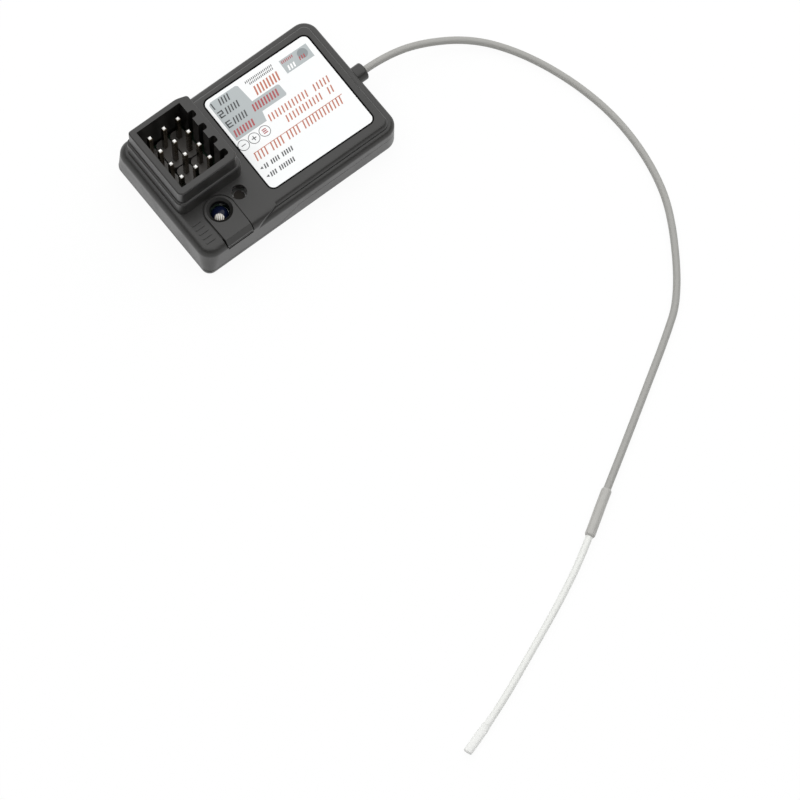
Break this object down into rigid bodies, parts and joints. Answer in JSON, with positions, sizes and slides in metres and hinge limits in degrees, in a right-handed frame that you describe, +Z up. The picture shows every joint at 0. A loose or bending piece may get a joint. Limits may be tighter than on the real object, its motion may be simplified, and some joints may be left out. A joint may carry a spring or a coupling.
{
  "type": "rc receiver",
  "caption": "Flat radio receiver in a dark housing with a connector tower for servo plugs, a label, a lamp, a set-up key and a thin cable aerial.",
  "frame": {"origin": "centre of the housing's underside", "axes": "+X along the housing from the connector tower to the cable gland, +Y across it towards the first channel, +Z up out of the connector tower"},
  "size_m": [0.0784, 0.1028, 0.013],
  "materials": {
    "housing_plastic": "finely textured charcoal moulding",
    "label_film": "satin white printed film",
    "board_laminate": "green solder resist over glass laminate",
    "solder": "bright set solder",
    "lamp_resin": "dark tinted clear resin",
    "tinned_metal": "tinned sheet",
    "key_plastic": "black moulding",
    "button_plastic": "dark moulding",
    "chip_resin": "black moulding resin",
    "capacitor_body": "tan fired body",
    "resistor_body": "black glazed body",
    "coil_body": "pale grey body",
    "coax_jacket": "smooth grey jacket",
    "copper_wire": "bare wire",
    "element_jacket": "smooth white jacket",
    "sleeve_film": "shrunk grey tube",
    "clear_sleeve": "shrunk clear tube, pinched flat",
    "insulator_plastic": "black moulding",
    "pin_metal": "thin gilt plating"
  },
  "bodies": {
    "receiver": {"upper_shell": "housing_plastic", "lower_cover": "housing_plastic", "label_sticker": "label_film", "circuit_board": "board_laminate", "solder_joints": "solder", "aerial_solder": "solder", "led_lamp": "lamp_resin", "led_leads": "tinned_metal", "key_case": "key_plastic", "key_cover": "tinned_metal", "key_dome": "tinned_metal", "key_terminals": "tinned_metal", "radio_chip": "chip_resin", "controller_chip": "chip_resin", "crystal_can": "tinned_metal", "voltage_regulator": "chip_resin", "bulk_capacitor": "capacitor_body", "chip_capacitors": "capacitor_body", "chip_resistors": "resistor_body", "filter_coils": "coil_body", "coax_inside": "coax_jacket", "coax_braid": "tinned_metal", "coax_core": "copper_wire", "antenna_coax": "coax_jacket", "antenna_element": "element_jacket", "joint_sleeve": "sleeve_film", "tip_sleeve": "clear_sleeve", "header_minus_1": "insulator_plastic", "header_minus_2": "insulator_plastic", "header_plus_1": "insulator_plastic", "header_plus_2": "insulator_plastic", "header_signal_1": "insulator_plastic", "header_signal_2": "insulator_plastic", "pin_1_minus": "pin_metal", "pin_1_plus": "pin_metal", "pin_1_signal": "pin_metal", "pin_2_minus": "pin_metal", "pin_2_plus": "pin_metal", "pin_2_signal": "pin_metal", "pin_3_minus": "pin_metal", "pin_3_plus": "pin_metal", "pin_3_signal": "pin_metal", "pin_4_minus": "pin_metal", "pin_4_plus": "pin_metal", "pin_4_signal": "pin_metal"},
    "key": {"key_plunger": "button_plastic"}
  },
  "joints": [
    {"name": "key_press", "type": "slide", "parent": "receiver", "child": "key", "axis": [0, 0, -1], "range_m": [0, 0.00025], "stiffness_N_per_m": 6000}
  ]
}
